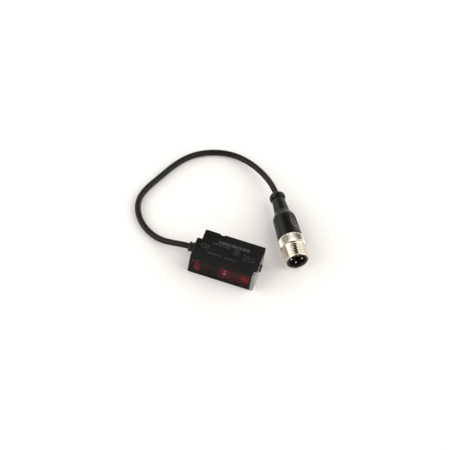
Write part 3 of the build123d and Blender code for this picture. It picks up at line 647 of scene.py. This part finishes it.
def add_bar(mesh, along, down, width, height, slant=0.0):
    """A bar with rounded ends, its top edge leaning by slant."""
    radius = min(width, height) * 0.3
    outline = []
    corners = (
        (along + width - radius, down + height - radius, 0),
        (along + radius, down + height - radius, 90),
        (along + radius, down + radius, 180),
        (along + width - radius, down + radius, 270),
    )
    for centre_along, centre_down, start in corners:
        for step in range(PRINT_CORNER_STEPS):
            turn = math.radians(start + 90 * step / (PRINT_CORNER_STEPS - 1))
            x = centre_along + radius * math.cos(turn)
            y = centre_down + radius * math.sin(turn)
            outline.append((x + slant * (down + height - y), y))
    add_plate(mesh, outline)


def add_ring_mark(mesh, along, down, outer, inner, start=0.0, sweep=360.0, steps=28):
    """A ring, or part of one, as thin plates."""
    for step in range(steps):
        turns = [math.radians(start + sweep * (step + part) / steps) for part in (0, 1)]
        outline = [(along + outer * math.cos(t), down + outer * math.sin(t)) for t in turns]
        outline += [(along + inner * math.cos(t), down + inner * math.sin(t)) for t in reversed(turns)]
        add_plate(mesh, outline)


def bar_row(mesh, start, end, down, height, widths, gap, slant=0.0):
    """Bars of repeating widths from start until end is reached."""
    along = start
    index = 0
    while along + widths[index % len(widths)] <= end:
        width = widths[index % len(widths)]
        add_bar(mesh, along, down, width, height, slant)
        along += width + gap
        index += 1


# Rows of bars in print millimetres: start, end, down, height, repeating widths, gap
NAME_ROW = (8.2, 24.4, 4.6, 1.85, (1.25, 1.9, 1.5, 0.7, 2.3, 1.1), 0.3)
NAME_SLANT = 0.12
FAINT_ROWS = [(5.8, 15.2, 6.85, 0.95, (0.8, 1.3, 0.55, 1.0, 0.45), 0.28)]
FAINT_ROWS += [(16.7, 20.6, 6.8 + row * 1.05, 0.62, (0.5, 0.85, 0.4), 0.22) for row in range(4)]
FAINT_ROWS += [
    (5.0, 12.4, 13.6, 0.7, (1.1, 0.6, 0.9), 0.3),
    (13.6, 20.6, 13.75, 0.7, (0.7, 1.2, 0.5), 0.3),
]


def side_print():
    """A brighter slanting row where a name would be, and faint rows, rings and bars around it."""
    bright = bmesh.new()
    bar_row(bright, *NAME_ROW, NAME_SLANT)
    piece = piece_from_bmesh("print_band", bright, ink("ink_light", 0.032), "sensor")
    faint = bmesh.new()
    for row in FAINT_ROWS:
        bar_row(faint, *row)
    add_ring_mark(faint, 2.1, 10.5, 1.45, 1.05)
    add_bar(faint, 4.0, 9.0, 0.5, 3.0)
    add_ring_mark(faint, 26.4, 10.6, 1.5, 1.15)
    for line in range(3):
        add_bar(faint, 21.9, 8.8 + line * 1.7, 2.6, 0.4)
    piece = piece_from_bmesh("print_marks", faint, ink("ink_faint", 0.022), "sensor")


side_print()

# ---------------------------------------------------------------- smooth shading and softened edges
EDGE_ANGLE = math.radians(35)
# Width of the softened edges by node, in millimetres
SOFT_EDGES = {
    "housing": 0.09, "front_window": 0.06, "indicator_cap": 0.08, "adjuster_knob": 0.05,
    "cable_grommet": 0.08, "contact_carrier": 0.05,
}
for node_name, carried in NODES.items():
    carried.data.shade_smooth()
    if node_name in SOFT_EDGES:
        bevel = carried.modifiers.new("soft_edges", "BEVEL")
        bevel.width = SOFT_EDGES[node_name] * MM
        bevel.segments = 2
        bevel.limit_method = "ANGLE"
        bevel.angle_limit = EDGE_ANGLE
    carried.data.set_sharp_from_angle(angle=EDGE_ANGLE)


# ---------------------------------------------------------------- floor, light and camera
OBJECT_CENTRE = (Vector(cad_bounds[0]) + Vector(cad_bounds[1])) / 2
LAMP_COLOUR = (1.0, 0.995, 0.985)
FLOOR_HALF_SIZE = 3.0
FLOOR_GAP = 0.02 * MM
ROOM_BRIGHTNESS = 2.15
# (height of direction, colour) from the horizon up
ROOM_COLOURS = (
    (0.03, (0.42, 0.34, 0.25)),
    (0.14, (1.0, 0.99, 0.975)),
    (0.42, (0.95, 0.94, 0.92)),
    (0.6, (0.25, 0.21, 0.15)),
    (0.7, (0.04, 0.033, 0.026)),
)
SCREEN_DIRECTION = Vector((0.5, -0.86, 0.08))
SCREEN_ANGLE = 15.0
SCREEN_CORE = 0.6               # share of the angle within which the screen is fully dark
SCREEN_BRIGHTNESS = 0.04


def floor():
    """A pale, seamless table top."""
    mesh = bmesh.new()
    bmesh.ops.create_grid(mesh, x_segments=2, y_segments=2, size=FLOOR_HALF_SIZE)
    data = bpy.data.meshes.new("floor")
    mesh.to_mesh(data)
    mesh.free()
    s = Shader("floor_paper")
    shader = s.principled(Roughness=0.75)
    shade = s.ramp(s.noise(60 * MM, detail=3), (0.3, (0.9, 0.893, 0.885)), (0.7, (0.92, 0.915, 0.905)))
    s.link(shade, shader.inputs["Base Color"])
    data.materials.append(s.finish(shader.outputs["BSDF"]))
    plane = bpy.data.objects.new("floor", data)
    plane.location.z = -FLOOR_GAP
    bpy.context.scene.collection.objects.link(plane)


def area_light(name, direction, distance, size, power):
    """A round soft box that faces the object from a direction."""
    data = bpy.data.lights.new(name, "AREA")
    data.shape = "DISK"
    data.size = size
    data.energy = power
    data.color = LAMP_COLOUR
    lamp = bpy.data.objects.new(name, data)
    toward = Vector(direction).normalized()
    lamp.location = OBJECT_CENTRE + toward * distance
    lamp.rotation_euler = toward.to_track_quat("Z", "Y").to_euler()
    bpy.context.scene.collection.objects.link(lamp)


def world_light():
    """A room that is bright near the table and dark overhead, with a dark screen in front."""
    world = bpy.data.worlds.new("room")
    bpy.context.scene.world = world
    world.use_nodes = True
    tree = world.node_tree
    tree.nodes.clear()
    place = tree.nodes.new("ShaderNodeTexCoord")
    split = tree.nodes.new("ShaderNodeSeparateXYZ")
    ramp = tree.nodes.new("ShaderNodeValToRGB")
    back = tree.nodes.new("ShaderNodeBackground")
    out = tree.nodes.new("ShaderNodeOutputWorld")
    while len(ramp.color_ramp.elements) < len(ROOM_COLOURS):
        ramp.color_ramp.elements.new(0.5)
    for element, (height, colour) in zip(ramp.color_ramp.elements, ROOM_COLOURS):
        element.position = height
        element.color = (*colour, 1)
    tree.links.new(place.outputs["Generated"], split.inputs["Vector"])
    tree.links.new(split.outputs["Z"], ramp.inputs["Fac"])
    toward = tree.nodes.new("ShaderNodeVectorMath")
    toward.operation = "DOT_PRODUCT"
    toward.inputs[1].default_value = SCREEN_DIRECTION.normalized()
    tree.links.new(place.outputs["Generated"], toward.inputs[0])
    edge = tree.nodes.new("ShaderNodeMapRange")
    edge.inputs["From Min"].default_value = math.cos(math.radians(SCREEN_ANGLE))
    edge.inputs["From Max"].default_value = math.cos(math.radians(SCREEN_ANGLE * SCREEN_CORE))
    edge.inputs["To Min"].default_value = ROOM_BRIGHTNESS
    edge.inputs["To Max"].default_value = ROOM_BRIGHTNESS * SCREEN_BRIGHTNESS
    tree.links.new(toward.outputs["Value"], edge.inputs["Value"])
    tree.links.new(edge.outputs["Result"], back.inputs["Strength"])
    tree.links.new(ramp.outputs["Color"], back.inputs["Color"])
    tree.links.new(back.outputs["Background"], out.inputs["Surface"])


VIEW_AZIMUTH = 7.7
VIEW_ELEVATION = 49.2
VIEW_ROLL = 11.5
VIEW_DISTANCE = 1.3
VIEW_TARGET = Vector((-8.83, 18.27, 0)) * MM
VIEW_WIDTH = 223.8 * MM
SENSOR_WIDTH = 36.0


def camera():
    turn, rise, roll = (math.radians(a) for a in (VIEW_AZIMUTH, VIEW_ELEVATION, VIEW_ROLL))
    back = Vector((math.sin(turn) * math.cos(rise), -math.cos(turn) * math.cos(rise), math.sin(rise)))
    level = Vector((math.cos(turn), math.sin(turn), 0))
    above = back.cross(level)
    right = level * math.cos(roll) + above * math.sin(roll)
    up = back.cross(right)
    data = bpy.data.cameras.new("camera")
    data.sensor_width = SENSOR_WIDTH
    data.lens = SENSOR_WIDTH * VIEW_DISTANCE / VIEW_WIDTH
    data.clip_start = 0.01
    viewer = bpy.data.objects.new("camera", data)
    rotation = Matrix((right, up, back)).transposed()
    viewer.matrix_world = Matrix.Translation(VIEW_TARGET + back * VIEW_DISTANCE) @ rotation.to_4x4()
    bpy.context.scene.collection.objects.link(viewer)
    bpy.context.scene.camera = viewer


floor()
area_light("key", (0.62, 0.2, 0.8), distance=0.9, size=1.1, power=4.5)
area_light("fill", (-0.75, -0.4, 0.7), distance=1.1, size=1.2, power=6.6)
world_light()
camera()
bpy.context.scene.view_settings.view_transform = "Standard"
